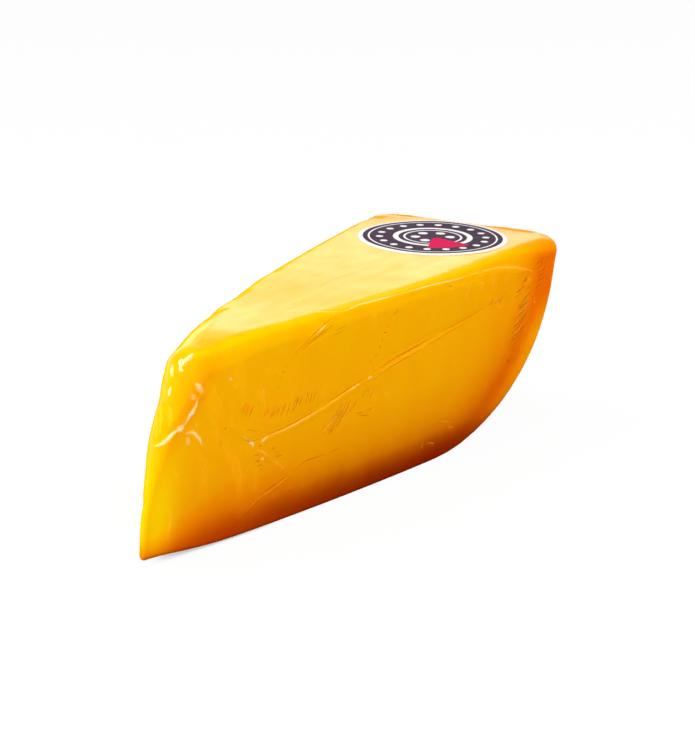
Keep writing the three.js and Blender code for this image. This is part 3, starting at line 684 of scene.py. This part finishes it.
def wedge_skin(steps):
    """The wedge's closed skin: points, faces, and each point's way round and climb in millimetres."""
    rows, marks = [], []
    heights = climbs(steps)
    along = ("front", "nose", "side", "corner", "rim")
    half_steps = sum(steps[part] for part in along)
    fine = {part: count * FINE if part in along else count for part, count in steps.items()}
    for climb in heights:
        z, drop = level(climb)
        near = half_outline(z, drop, fine)
        far = near[::FINE][1:-1][::-1]
        near = np.column_stack([near[:, 0], -belly(near, BELLY_NEAR), np.full(len(near), z)])
        far = np.column_stack([far[:, 0], belly(far, BELLY_FAR), np.full(len(far), z)])
        ring = np.vstack([near, far])
        way = run_lengths(near)
        back = step_lengths(np.vstack([far, near[:1]]))
        far_way = -np.cumsum(back[::-1])[::-1]
        ring = round_near_edge(ring, np.arange(len(ring)) < len(near))
        rows.append(settle(ring))
        marks.append(np.column_stack([np.concatenate([way, far_way]), np.full(len(ring), climb)]))
    count = len(rows[0])
    points, mark = [np.vstack(rows)], [np.vstack(marks)]
    quads = []
    for row in range(len(rows) - 1):
        a = row * count + np.arange(count)
        b = row * count + (np.arange(count) + 1) % count
        quads.append(np.column_stack([a, b, b + count, a + count]))
    faces = np.vstack(quads).tolist()
    total = len(points[0])
    for row, flip in ((0, True), (len(rows) - 1, False)):
        edge, edge_marks, base = rows[row], marks[row], row * count
        inner, inner_marks, flat = cap(edge, edge_marks, half_steps, steps["across"], base, total)
        points.append(inner)
        mark.append(inner_marks)
        total += len(inner)
        faces += [face[::-1] for face in flat] if flip else flat
    return np.vstack(points), faces, np.vstack(mark) / MM


def cap(ring, marks, half_steps, across, base, first):
    """The flat face inside a ring: points across it, their marks, and faces that look up."""
    count = len(ring)
    share = np.linspace(0, 1, across + 1)[1:-1]
    points, cap_marks, columns = [], [], []
    for j in range(half_steps + 1):
        near = FINE * j
        far = (count - j) % count if j < half_steps else near
        if j in (0, half_steps):
            columns.append([base + near] * (across + 1))
            continue
        inner = ring[near] + (ring[far] - ring[near]) * share[:, None]
        ids = [first + len(points) + i for i in range(across - 1)]
        points.extend(inner)
        reach = np.linalg.norm(inner - ring[near], axis=1)
        cap_marks.extend(np.column_stack([np.full(across - 1, marks[near][0]), marks[near][1] + reach]))
        columns.append([base + near, *ids, base + far])
    faces = []
    for j, (here, there) in enumerate(zip(columns, columns[1:])):
        edge = [base + FINE * j + i for i in range(FINE + 1)]
        middle = FINE // 2
        faces += [[edge[i], edge[i + 1], here[1]] for i in range(middle)]
        faces += [[edge[i], edge[i + 1], there[1]] for i in range(middle, FINE)]
        faces.append([edge[middle], there[1], here[1]])
        for i in range(1, across):
            faces.append([here[i], there[i], there[i + 1], here[i + 1]])
    clean = []
    for face in faces:
        kept = [v for i, v in enumerate(face) if v not in face[:i]]
        if len(kept) > 2:
            clean.append(kept)
    return np.array(points), np.array(cap_marks), clean


def fold_height(marks):
    """The folds' and bumps' height at each mark, in metres."""
    height = np.zeros(len(marks))
    for width, rise, route in FOLDS:
        path = smooth_path(route)
        reach = 2 * width
        inside = np.all((marks > path.min(0) - reach) & (marks < path.max(0) + reach), axis=1)
        gap, share = along_path(marks[inside], path)
        swell = np.exp(-FOLD_FALL * (gap / width) ** 2)
        height[inside] += rise * swell * np.sin(math.pi * share) ** FOLD_TAPER
    for way, climb, radius, rise in BUMPS:
        gap = np.linalg.norm(marks - [way, climb], axis=1)
        height += rise * bell(gap, radius)
    return height * MM


def waves(points, seed):
    """Smooth noise from -1 to 1 at points in the plane."""
    return np.array([noise.noise(Vector((x, y, seed))) for x, y in points])


def wave_sum(points, terms):
    """Waves added up at points, from (height, reach, seed) terms."""
    return sum(height * waves(points / np.array(reach), seed) for height, reach, seed in terms)


def calm(points):
    """0 under the label, where the skin is flat, and 1 away from it."""
    middle = LABEL_MIDDLE - WHEEL_CENTRE
    away = np.hypot(points[:, 0] - middle.x, points[:, 1] - middle.y) - LABEL_RADIUS
    return np.where(points[:, 2] > HEIGHT / 2, ease(away, 0, LABEL_CALM), 1)


def rim_depth(points):
    """Each point's distance in from the wheel's rim at its height, in millimetres."""
    rim = rim_radius(np.clip(points[:, 2] / HEIGHT, 0, 1))
    return np.maximum(rim - np.hypot(points[:, 0], points[:, 1]), 0) / MM


def show(name, data):
    """A new object in the scene."""
    piece = bpy.data.objects.new(name, data)
    bpy.context.scene.collection.objects.link(piece)
    return piece


def make_mesh(name, points, faces, material):
    """A smooth mesh object that rides on the wedge's body."""
    mesh = bpy.data.meshes.new(name)
    mesh.from_pydata([tuple(p) for p in points], [], faces)
    mesh.polygons.foreach_set("use_smooth", [True] * len(mesh.polygons))
    mesh.materials.append(material)
    mesh.update()
    piece = show(name, mesh)
    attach(piece, "root")
    return piece


def push(piece, amount, margin):
    """Moves each vertex along its normal by its amount, and keeps it a margin inside the CAD bounds."""
    mesh = piece.data
    normals = np.zeros(len(mesh.vertices) * 3)
    mesh.vertex_normals.foreach_get("vector", normals)
    places = np.zeros(len(mesh.vertices) * 3)
    mesh.vertices.foreach_get("co", places)
    places = (places + normals * np.repeat(amount, 3)).reshape(-1, 3)
    low = np.array(CAD_BOUNDS[0]) + [margin, margin, margin - FILM_GAP / 2]
    places = np.clip(places, low, np.array(CAD_BOUNDS[1]) - margin)
    mesh.vertices.foreach_set("co", places.ravel())
    mesh.update()


def add_attribute(piece, name, values):
    attribute = piece.data.attributes.new(name, "FLOAT", "POINT")
    attribute.data.foreach_set("value", np.asarray(values, np.float32))


def skin_piece(name, steps, material, inset):
    """The wedge's skin with its relief, drawn in by an inset."""
    points, faces, marks = wedge_skin(steps)
    piece = make_mesh(name, points + np.array(WHEEL_CENTRE), faces, material)
    standing = points[:, 2] > BOTTOM_ROUND
    relief = fold_height(marks) + wave_sum(marks, RELIEF_WAVES) * MM
    relief = np.where(standing, relief, 0) * calm(points)
    push(piece, relief - inset, inset + FILM_GAP / 2)
    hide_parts("cheese_wedge")
    return piece, points, marks


def blend(stops, at):
    """The colours at places along a list of (place, colour) stops."""
    places, colours = zip(*stops)
    return np.column_stack([np.interp(at, places, channel) for channel in zip(*colours)])


def paste_and_painted_light_colour(points, marks):
    """The cheese's colour at each point: redder and darker towards the rind and the bottom, with painted
    light and shade on the nose, the walls and the top edge.
    """
    wander = wave_sum(marks, WANDER_WAVES)
    way, climb = marks[:, 0], marks[:, 1]
    height = points[:, 2] / MM * (1 + NOSE_STRETCH * bell(way, NOSE_STRETCH_REACH)) + wander
    depth = rim_depth(points) + WANDER_BY_RIM * wander
    by_nose = bell(way, NOSE_REACH)[:, None]
    paste_and_painted_light = blend(PASTE_AND_SHADE_BY_HEIGHT, height)
    paste_and_painted_light += (blend(NOSE_PASTE_AND_SHADE_BY_HEIGHT, height) - paste_and_painted_light) * by_nose
    # Painted light and shade on the nose's front.
    by_front = bell(way - FRONT_MIDDLE, FRONT_REACH)[:, None]
    paste_and_painted_light *= 1 + (blend(FRONT_PAINTED_LIGHT_BY_HEIGHT, climb) - 1) * by_front
    # The walls' tints by the rim hold painted light and shade as well as the rind's own colour.
    wall = blend(LOW_WALL_RIND_AND_LIGHT_BY_RIM, depth)
    wall += (blend(HIGH_WALL_RIND_AND_LIGHT_BY_RIM, depth) - wall) * ease(climb, *HIGH_WALL_START)[:, None]
    wall = 1 + (wall - 1) * ease(climb, *WALL_START)[:, None]
    upward = ease(climb, *TOP_START)[:, None]
    tint = wall + (blend(TOP_BY_RIM, depth) - wall) * upward
    # Painted light and shade by the climb: a darker band below the top edge, a brighter edge and a paler
    # top, with no band on the far top edge.
    shade_band = climb + np.interp(way, *zip(*SHADE_BAND_DROP)) + WANDER_BY_SHADE_BAND * wander
    edge = blend(PAINTED_LIGHT_BY_CLIMB, shade_band)
    far = ease(np.minimum(FAR_EDGE[1] - way, way - FAR_EDGE[0]), 0, FAR_EDGE_FADE)[:, None]
    edge += (np.maximum(edge, 1) - edge) * far
    return paste_and_painted_light * tint * edge


def add_colours(piece, colours):
    attribute = piece.data.attributes.new("paste_and_painted_light", "FLOAT_COLOR", "POINT")
    opaque = np.column_stack([colours, np.ones(len(colours))])
    attribute.data.foreach_set("color", opaque.astype(np.float32).ravel())


def film_veil(points, marks):
    """How milky the film's gloss is at each point: on the top it is less near the nose, and streaky."""
    streaks = wave_sum(points[:, :2], VEIL_WAVES)
    veil = np.interp(marks[:, 0], *zip(*VEIL_BY_WAY)) * (1 + VEIL_CONTRAST * streaks)
    return 1 + (veil - 1) * ease(marks[:, 1], *VEIL_START)


def camera_axes():
    """The camera's place and its forward, right and down directions."""
    turn, pitch, roll = CAMERA_TURN, CAMERA_PITCH, CAMERA_ROLL
    forward = Vector((-math.sin(turn) * math.cos(pitch), math.cos(turn) * math.cos(pitch), -math.sin(pitch)))
    level_right = Vector((math.cos(turn), math.sin(turn), 0))
    level_down = forward.cross(level_right)
    right = math.cos(roll) * level_right + math.sin(roll) * level_down
    down = -math.sin(roll) * level_right + math.cos(roll) * level_down
    scale = CAMERA_DISTANCE / FOCAL_PIXELS
    aside = right * AIM_PIXEL[0] * scale + down * AIM_PIXEL[1] * scale
    return WHEEL_CENTRE + AIM - forward * CAMERA_DISTANCE - aside, forward, right, down


def cast_pixels(tree, pixels):
    """The places and normals on the film that pixels of the photograph show."""
    eye, forward, right, down = camera_axes()
    places, normals = [], []
    for x, y in pixels:
        across, along = (x - PICTURE_WIDE / 2) / FOCAL_PIXELS, (y - PICTURE_TALL / 2) / FOCAL_PIXELS
        place, normal, _, _ = tree.ray_cast(eye, forward + right * across + down * along)
        if place is not None:
            places.append(place)
            normals.append(normal)
    return np.array(places), np.array(normals)


def resample(places, normals):
    """A path's places and normals at even steps, with the normals smoothed."""
    start = run_lengths(places)
    count = max(int(start[-1] / PLEAT_STEP), 4)
    at = np.linspace(0, start[-1], count + 1)
    places = np.column_stack([np.interp(at, start, places[:, k]) for k in range(3)])
    normals = np.column_stack([np.interp(at, start, normals[:, k]) for k in range(3)])
    padded = np.vstack([normals[:1], normals, normals[-1:]])
    return places, unit(padded[:-2] + padded[1:-1] + padded[2:])


class PleatMesh:
    """Collects slender closed pleats that lie on the film."""

    def __init__(self, tree):
        self.tree = tree
        self.points, self.normals, self.faces = [], [], []
        self.strengths, self.tones = [], []

    def add(self, places, normals, tone, width, strength):
        """One pleat: a lens-shaped bar along a path, thin at its ends."""
        if len(places) < 2:
            return
        places, normals = resample(places, normals)
        ahead = np.gradient(places, axis=0)
        side = unit(np.cross(normals, ahead))
        share = np.linspace(0, 1, len(places))[:, None]
        swell = np.sin(math.pi * share) ** PLEAT_TAPER
        half = side * width * MM / 2 * swell
        rise = normals * PLEAT_RISE * width * MM * swell
        low = places + normals * PLEAT_FLOAT
        rings = [low + half * out + rise * high for out, high, _ in PLEAT_SECTION]
        rings.append(places - normals * PLEAT_ROOT * swell)
        leans = [normals + side * out * PLEAT_LEAN for out, _, _ in PLEAT_SECTION] + [-normals]
        around = len(rings)
        rings = np.stack(rings, axis=1)[1:-1]
        leans = np.stack(leans, axis=1)[1:-1]
        first = sum(len(block) for block in self.points)
        count = len(rings)
        self.points.append(np.vstack([rings.reshape(-1, 3), places[:1], places[-1:]]))
        self.normals.append(np.vstack([leans.reshape(-1, 3), normals[:1], normals[-1:]]))
        dense = strength * np.sin(math.pi * share[1:-1]) ** PLEAT_FADE
        dense = (dense * [*(part for _, _, part in PLEAT_SECTION), 0]).ravel()
        self.strengths.append(np.concatenate([dense, [0, 0]]))
        self.tones.append(np.full(count * around + 2, tone))
        for i in range(count - 1):
            a, b = first + around * i, first + around * (i + 1)
            for k in range(around):
                after = (k + 1) % around
                self.faces.append([a + k, b + k, b + after, a + after])
        start = first + around * count
        end, last = start + 1, start - around
        for k in range(around):
            after = (k + 1) % around
            self.faces.append([start, first + k, first + after])
            self.faces.append([end, last + after, last + k])

    def add_pixels(self, route, tone, width, strength):
        places, normals = cast_pixels(self.tree, smooth_path(route, PIXEL_STEPS))
        self.add(places, normals, tone, width, strength)

    def add_marks(self, route, tone, width, strength):
        """A pleat by the way round and the climb, for the sides that the photograph doesn't show."""
        places, normals = [], []
        for mark in smooth_path(route, HIDDEN_STEPS):
            place, normal, _, _ = self.tree.find_nearest(skin_place(mark))
            places.append(place)
            normals.append(normal)
        self.add(np.array(places), np.array(normals), tone, width, strength)

    def make(self, material):
        piece = make_mesh("film_pleats", np.vstack(self.points), self.faces, material)
        normals = unit(np.vstack(self.normals))
        piece.data.normals_split_custom_set_from_vertices([tuple(n) for n in normals])
        add_attribute(piece, "strength", np.concatenate(self.strengths))
        add_attribute(piece, "tone", np.concatenate(self.tones))
        piece.visible_shadow = False
        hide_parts("cheese_wedge")


def skin_place(mark):
    """The place on the bare skin of a way round and a climb in millimetres, on the sides."""
    way, climb = mark
    z, drop = level(min(max(climb, 0), WALL_TOP / MM) * MM)
    half = half_outline(z, drop, HIDDEN_OUTLINE)
    far = way < 0
    most = BELLY_FAR if far else BELLY_NEAR
    half[:, 1] = belly(half, most)
    start = run_lengths(half)
    x = np.interp(abs(way) * MM, start, half[:, 0])
    y = np.interp(abs(way) * MM, start, half[:, 1])
    return Vector(settle(np.array([[x, y if far else -y, z]]))[0]) + WHEEL_CENTRE


def hatch_pleats(mesh, draw):
    """The patches of fine wrinkles, drawn as lines of painted shade and painted light."""
    for count, tone, foot, head in HATCHES:
        foot, head = smooth_path(foot), smooth_path(head)
        for i in range(count):
            share = (i + 0.5 + draw.uniform(-HATCH_JITTER, HATCH_JITTER)) / count
            spread = [draw.uniform(-HATCH_SPREAD, HATCH_SPREAD) for _ in range(2)]
            a = foot[int(share * (len(foot) - 1))] + [spread[0], draw.uniform(-HATCH_END, HATCH_END)]
            b = head[int(share * (len(head) - 1))] + [spread[1], draw.uniform(-HATCH_END, HATCH_END)]
            bow = (a + b) / 2 + [draw.uniform(*HATCH_BOW), draw.uniform(*HATCH_BOW)]
            strength = HATCH_STRENGTH * draw.uniform(*HATCH_SHARE)
            mesh.add_pixels([a, bow, b], tone, HATCH_WIDTH, strength)


def hidden_pleats(mesh, draw):
    """Long pleats and patches of short ones on the far face and the rim, in painted shade and painted light.
    """
    for i in range(HIDDEN_PLEATS):
        way, climb = draw.uniform(*HIDDEN_WAY), draw.uniform(*HIDDEN_CLIMB)
        slope, length = draw.gauss(*HIDDEN_SLOPE), draw.uniform(*HIDDEN_LENGTH)
        bow = draw.uniform(-HIDDEN_BOW, HIDDEN_BOW)
        step = np.array([math.cos(slope), math.sin(slope)]) * length / 2
        middle = np.array([way, climb])
        route = [middle - step, middle + [bow * HIDDEN_LEAN, bow], middle + step]
        ways, heights = zip(*route)
        if min(heights) < HIDDEN_LOWEST or max(heights) > HIDDEN_HIGHEST or min(ways) < HIDDEN_FURTHEST:
            continue
        tone = HIDDEN_TONES[i % 2]
        mesh.add_marks(route, tone, draw.uniform(*HIDDEN_WIDTH), draw.uniform(*HIDDEN_STRENGTH))
    for _ in range(HIDDEN_PATCHES):
        middle = np.array([draw.uniform(*PATCH_WAY), draw.uniform(*PATCH_CLIMB)])
        slope = draw.uniform(*PATCH_SLOPE)
        along = np.array([math.cos(slope), math.sin(slope)])
        across = np.array([-along[1], along[0]])
        for j in range(PATCH_COUNT):
            half = along * draw.uniform(*PATCH_HALF)
            place = middle + across * (j - PATCH_COUNT // 2) * draw.uniform(*PATCH_GAP)
            place = place + along * draw.uniform(-PATCH_SHIFT, PATCH_SHIFT)
            route = [place - half, place + across * draw.uniform(*PATCH_BOW), place + half]
            mesh.add_marks(route, 0, HATCH_WIDTH, HATCH_STRENGTH * draw.uniform(*HATCH_SHARE))


def make_pleats(film):
    """All the sharp pleats and hazy smears, as one mesh on the film, in colours of painted shade, light,
    highlights and reflections.
    """
    data = film.data
    tree = BVHTree.FromPolygons([v.co for v in data.vertices], [p.vertices for p in data.polygons])
    mesh = PleatMesh(tree)
    for tone, width, strength, route in PLEATS + SMEARS:
        mesh.add_pixels(route, tone, width, strength)
    draw = random.Random(HIDDEN_SEED)
    hatch_pleats(mesh, draw)
    hidden_pleats(mesh, draw)
    mesh.make(pleat_material())


def node_material(name):
    material = bpy.data.materials.new(name)
    material.use_nodes = True
    tree = material.node_tree
    tree.nodes.clear()
    return material, tree


def add(tree, kind, **values):
    """A shader node with its inputs set: a value, or another node's output. _0 is the first input."""
    node = tree.nodes.new("ShaderNode" + kind)
    for key, value in values.items():
        name = key.replace("_", " ")
        if key[0] == "_":
            socket = node.inputs[int(key[1:])]
        elif name in node.inputs:
            socket = node.inputs[name]
        else:
            setattr(node, key, value)
            continue
        if isinstance(value, bpy.types.NodeSocket):
            tree.links.new(value, socket)
        else:
            socket.default_value = value
    return node


def finish_material(tree, shader):
    output = add(tree, "OutputMaterial")
    tree.links.new(shader.outputs[0], output.inputs[0])


def ramp(tree, factor, stops):
    """A colour ramp over a factor, from (place, colour) stops."""
    node = add(tree, "ValToRGB", _0=factor)
    elements = node.color_ramp.elements
    while len(elements) < len(stops):
        elements.new(0.5)
    for element, (place, colour) in zip(elements, stops):
        element.position = place
        element.color = (*colour, 1)
    return node.outputs["Color"]


def grey_ramp(tree, factor, stops):
    return ramp(tree, factor, [(place, (value, value, value)) for place, value in stops])


def object_place(tree):
    return add(tree, "TexCoord").outputs["Object"]


def grain(tree, place, scale, detail, **values):
    """Noise over places, from 0 to 1."""
    return add(tree, "TexNoise", Vector=place, Scale=scale, Detail=detail, **values).outputs["Fac"]


def bumped(tree, height, strength, depth, **values):
    """The normal, tilted by a height."""
    return add(tree, "Bump", Height=height, Strength=strength, Distance=depth, **values).outputs["Normal"]


def math_node(tree, operation, a, b=0.0, c=0.0):
    return add(tree, "Math", operation=operation, _0=a, _1=b, _2=c).outputs[0]


def mix_colour(tree, factor, a, b, blend="MIX"):
    node = add(tree, "Mix", data_type="RGBA", blend_type=blend, _0=factor, _6=a, _7=b)
    return node.outputs[2]


def mix_shader(tree, factor, a, b):
    return add(tree, "MixShader", _0=factor, _1=a.outputs[0], _2=b.outputs[0])


def attribute(tree, name):
    return add(tree, "Attribute", attribute_name=name).outputs["Fac"]


def cheese_material():
    """Aged gouda: golden cheese that darkens to orange and brown near the rind, with painted light and shade
    in its colour attribute.
    """
    material, tree = node_material("aged_gouda")
    place = object_place(tree)
    upright = add(tree, "VectorMath", operation="MULTIPLY", _0=place, _1=STREAK_STRETCH).outputs[0]
    mottle = grain(tree, place, *PASTE_MOTTLE, Roughness=0.6)
    streak = grain(tree, upright, *PASTE_STREAK)
    paste_and_painted_light = add(tree, "Attribute", attribute_name="paste_and_painted_light").outputs["Color"]
    uneven = math_node(tree, "MULTIPLY_ADD", streak, STREAK_CONTRAST, 1 - STREAK_CONTRAST / 2)
    spots = math_node(tree, "SUBTRACT", mottle, 0.5)
    uneven = math_node(tree, "MULTIPLY_ADD", spots, MOTTLE_CONTRAST, uneven)
    shade = add(tree, "CombineColor", _0=1.0, _1=uneven, _2=uneven).outputs[0]
    pale = mix_colour(tree, 1.0, paste_and_painted_light, shade, "MULTIPLY")
    bump = bumped(tree, mottle, *PASTE_BUMP)
    shader = add(
        tree, "BsdfPrincipled", Base_Color=pale, Roughness=0.5, Normal=bump, Specular_IOR_Level=0.0,
        Subsurface_Weight=0.25, Subsurface_Radius=(0.005, 0.0025, 0.0006), Subsurface_Scale=1.0,
    )
    finish_material(tree, shader)
    return material


def film_material():
    """Clear tight film: a gloss over what lies under it."""
    material, tree = node_material("clear_film")
    place = object_place(tree)
    bump = bumped(tree, grain(tree, place, *FILM_SLOW), *FILM_SLOW_BUMP)
    bump = bumped(tree, grain(tree, place, *FILM_FINE), *FILM_FINE_BUMP, Normal=bump)
    clear = add(tree, "BsdfTransparent", Color=(1, 1, 1, 1))
    slant = add(tree, "LayerWeight", Blend=0.5, Normal=bump).outputs["Facing"]
    steep = math_node(tree, "POWER", slant, FILM_STEEPNESS)
    shine = math_node(tree, "MULTIPLY_ADD", steep, 1 - FILM_LEAST_SHINE, FILM_LEAST_SHINE)
    shine = math_node(tree, "MINIMUM", shine, FILM_MOST_SHINE)
    shine = math_node(tree, "MULTIPLY", shine, attribute(tree, "veil"))
    tint = add(tree, "CombineColor", _0=shine, _1=shine, _2=shine).outputs[0]
    gloss = add(tree, "BsdfGlossy", Color=tint, Roughness=0.09, Normal=bump)
    finish_material(tree, add(tree, "AddShader", _0=clear.outputs[0], _1=gloss.outputs[0]))
    return material


def pleat_material():
    """The film where it is folded: amber painted shade in its grooves, and painted light and highlights,
    partly milky film, on its raised pleats.
    """
    material, tree = node_material("folded_film")
    colour = ramp(tree, attribute(tree, "tone"), PLEAT_TONES)
    folded = add(tree, "BsdfDiffuse", Color=colour)
    clear = add(tree, "BsdfTransparent", Color=(1, 1, 1, 1))
    finish_material(tree, mix_shader(tree, attribute(tree, "strength"), clear, folded))
    return material


class Print:
    """Shapes printed on the label, by distance from its middle in millimetres."""

    def __init__(self, tree):
        self.tree = tree
        parts = add(tree, "SeparateXYZ", Vector=object_place(tree))
        self.x = self.scaled(parts.outputs["X"], LABEL_MIDDLE.x)
        self.y = self.scaled(parts.outputs["Y"], LABEL_MIDDLE.y)
        self.away = math_node(tree, "SQRT", math_node(tree, "ADD", self.square(self.x), self.square(self.y)))
        self.turn = math_node(tree, "ARCTAN2", self.y, self.x)

    def scaled(self, value, middle):
        return math_node(self.tree, "MULTIPLY_ADD", value, 1 / MM, -middle / MM)

    def square(self, value):
        return math_node(self.tree, "MULTIPLY", value, value)

    def ring(self, radius, width):
        """1 on a ring of a radius and a width."""
        return math_node(self.tree, "COMPARE", self.away, radius, width / 2)

    def outside(self, radius):
        return math_node(self.tree, "GREATER_THAN", self.away, radius)

    def inside(self, radius):
        return math_node(self.tree, "LESS_THAN", self.away, radius)

    def dots(self, radius, count, size):
        """1 on dots of a size, spread evenly round a ring."""
        step = 2 * math.pi / count
        turns = math_node(self.tree, "MULTIPLY", self.turn, 1 / step)
        off = math_node(self.tree, "MULTIPLY", math_node(self.tree, "PINGPONG", turns, 0.5), step * radius)
        out = math_node(self.tree, "SUBTRACT", self.away, radius)
        gap = math_node(self.tree, "SQRT", math_node(self.tree, "ADD", self.square(off), self.square(out)))
        return math_node(self.tree, "LESS_THAN", gap, size / 2)

    def sector(self, middle, half):
        """1 in a sector between two directions."""
        return math_node(self.tree, "COMPARE", self.turn, middle, half)

    def both(self, a, b):
        return math_node(self.tree, "MULTIPLY", a, b)

    def either(self, a, b):
        return math_node(self.tree, "MAXIMUM", a, b)

    def less(self, a, b):
        return math_node(self.tree, "SUBTRACT", a, b)


def label_material():
    """Satin paper: a plum field in a white border, with rings, dots and a cut wheel."""
    material, tree = node_material("label_paper")
    p = Print(tree)
    cut = p.sector(LABEL_CUT_TURN, LABEL_CUT_HALF)
    wheel = p.less(p.inside(WHEEL_EDGE), p.both(cut, p.inside(WHEEL_EDGE)))
    lines = p.either(p.ring(*WHEEL_RING), p.either(p.ring(*WHEEL_LINE), p.dots(*WHEEL_DOTS)))
    white = p.either(p.outside(BORDER_FROM), p.ring(*BORDER_LINE))
    white = p.either(white, p.dots(*BORDER_DOTS))
    white = p.either(white, p.both(wheel, lines))
    wedge = p.both(cut, p.both(p.inside(CUT_TO), p.outside(CUT_FROM)))
    mottle = grain(tree, object_place(tree), *PAPER_MOTTLE)
    colour = mix_colour(tree, mottle, *LABEL_FIELD)
    colour = mix_colour(tree, wedge, colour, LABEL_RED)
    colour = mix_colour(tree, white, colour, LABEL_WHITE)
    bump = bumped(tree, mottle, *PAPER_BUMP)
    finish_material(tree, add(
        tree, "BsdfPrincipled", Base_Color=colour, Roughness=0.6, Normal=bump, Specular_IOR_Level=0.06,
    ))
    return material


def make_label():
    """The round label: a thin disc that lies slightly wavy on the top."""
    thick = LABEL_HIGH.z - LABEL_LOW.z
    angle = np.linspace(0, 2 * math.pi, LABEL_AROUND, endpoint=False)
    rings = [(share, thick) for share in LABEL_RINGS] + [(1.0, thick * LABEL_EDGE), (1.0, 0.0)]
    points, faces = [[0, 0, thick]], []
    for share, z in rings:
        radius = LABEL_RADIUS * share
        wave = LABEL_WAVE * share**4 * (np.sin(3 * angle + 1) + np.sin(5 * angle)) / 2
        lifted = np.clip(z - LABEL_WAVE + wave, 0, None) if z else 0 * angle
        points += np.column_stack([radius * np.cos(angle), radius * np.sin(angle), lifted]).tolist()
    points.append([0, 0, 0])
    last = 1 + (len(rings) - 1) * LABEL_AROUND
    for i in range(LABEL_AROUND):
        j = (i + 1) % LABEL_AROUND
        faces.append([0, 1 + i, 1 + j])
        faces.append([len(points) - 1, last + j, last + i])
        for ring in range(len(rings) - 1):
            a = 1 + ring * LABEL_AROUND
            faces.append([a + i, a + LABEL_AROUND + i, a + LABEL_AROUND + j, a + j])
    place = np.array(points) + [LABEL_MIDDLE.x, LABEL_MIDDLE.y, LABEL_LOW.z]
    label = make_mesh("round_label", place, faces, label_material())
    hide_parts("label")


def make_floor():
    """A plain white floor that gives no colour to the cheese, with a painted shadow under the nose."""
    mesh = bpy.data.meshes.new("floor")
    s = FLOOR_HALF
    mesh.from_pydata([(-s, -s, 0), (s, -s, 0), (s, s, 0), (-s, s, 0)], [], [(0, 1, 2, 3)])
    material, tree = node_material("floor_white")
    shade = add(tree, "BsdfDiffuse", Color=(FLOOR_SHADE, FLOOR_SHADE, FLOOR_SHADE, 1))
    # The painted shadow: ambient occlusion darkens the glow near the nose's end.
    under = add(tree, "AmbientOcclusion", Distance=UNDER_REACH, samples=8).outputs["AO"]
    under = math_node(tree, "MINIMUM", math_node(tree, "MULTIPLY_ADD", under, UNDER_SLOPE, UNDER_LEAST), 1.0)
    x = add(tree, "SeparateXYZ", Vector=object_place(tree)).outputs["X"]
    beyond = math_node(tree, "MULTIPLY_ADD", x, 1 / UNDER_FADE, UNDER_END / UNDER_FADE + 1)
    under = math_node(tree, "MINIMUM", math_node(tree, "MAXIMUM", under, beyond), 1.0)
    seen = add(tree, "LightPath").outputs["Is Camera Ray"]
    strength = math_node(tree, "MULTIPLY_ADD", seen, 1 - FLOOR_SHADE - FLOOR_BOUNCE, FLOOR_BOUNCE)
    strength = math_node(tree, "MULTIPLY", strength, under)
    glow = add(tree, "Emission", Color=(1, 1, 1, 1), Strength=strength)
    finish_material(tree, add(tree, "AddShader", _0=shade.outputs[0], _1=glow.outputs[0]))
    mesh.materials.append(material)
    floor = show("floor", mesh)
    floor.visible_glossy = False


def make_world():
    """Light from behind the wedge, above the horizon, and a white backdrop."""
    world = bpy.data.worlds.new("soft_light")
    world.use_nodes = True
    tree = world.node_tree
    tree.nodes.clear()
    way = add(tree, "TexCoord").outputs["Generated"]
    parts = add(tree, "SeparateXYZ", Vector=way)
    back = math_node(tree, "MULTIPLY", parts.outputs["X"], SKY_TURN[0])
    back = math_node(tree, "MULTIPLY_ADD", parts.outputs["Y"], SKY_TURN[1], back)
    share = math_node(tree, "MULTIPLY_ADD", back, 0.5, 0.5)
    glow = grey_ramp(tree, share, SKY_BY_TURN)
    up = math_node(tree, "MULTIPLY_ADD", parts.outputs["Z"], 0.5, 0.5)
    above = grey_ramp(tree, up, SKY_BY_HEIGHT)
    sky = mix_colour(tree, 1.0, glow, above, "MULTIPLY")
    seen = add(tree, "LightPath").outputs["Is Camera Ray"]
    light = add(tree, "Background", Color=sky, Strength=SKY_STRENGTH)
    backdrop = add(tree, "Background", Color=(1, 1, 1, 1), Strength=1.0)
    output = add(tree, "OutputWorld")
    tree.links.new(mix_shader(tree, seen, light, backdrop).outputs[0], output.inputs[0])
    bpy.context.scene.world = world


def add_light(name, way, size, power, shines):
    """A soft light in a direction from the wedge. Only a light that shines shows in the gloss."""
    data = bpy.data.lights.new(name, "AREA")
    data.shape = "RECTANGLE"
    data.size, data.size_y = size
    data.energy = power
    light = show(name, data)
    place = Vector(way).normalized() * LIGHT_DISTANCE
    light.location = place
    light.rotation_euler = (-place).to_track_quat("-Z", "Y").to_euler()
    light.visible_glossy = shines


def make_camera():
    """A camera at the photograph's viewing angle."""
    place, forward, right, down = camera_axes()
    data = bpy.data.cameras.new("camera")
    data.sensor_width = SENSOR
    data.lens = FOCAL_PIXELS / PICTURE_TALL * SENSOR
    camera = show("camera", data)
    camera.matrix_world = Matrix([
        (right.x, -down.x, -forward.x, place.x),
        (right.y, -down.y, -forward.y, place.y),
        (right.z, -down.z, -forward.z, place.z),
        (0, 0, 0, 1),
    ])
    bpy.context.scene.camera = camera
    bpy.context.scene.view_settings.view_transform = "Standard"


cheese, cheese_points, cheese_marks = skin_piece("cheese", CHEESE_STEPS, cheese_material(), FILM_GAP)
add_colours(cheese, paste_and_painted_light_colour(cheese_points, cheese_marks))
film, film_points, film_marks = skin_piece("film", FILM_STEPS, film_material(), 0.0)
add_attribute(film, "veil", film_veil(film_points, film_marks))
make_pleats(film)
make_label()
make_floor()
make_world()
for light in LIGHTS:
    add_light(*light)
make_camera()
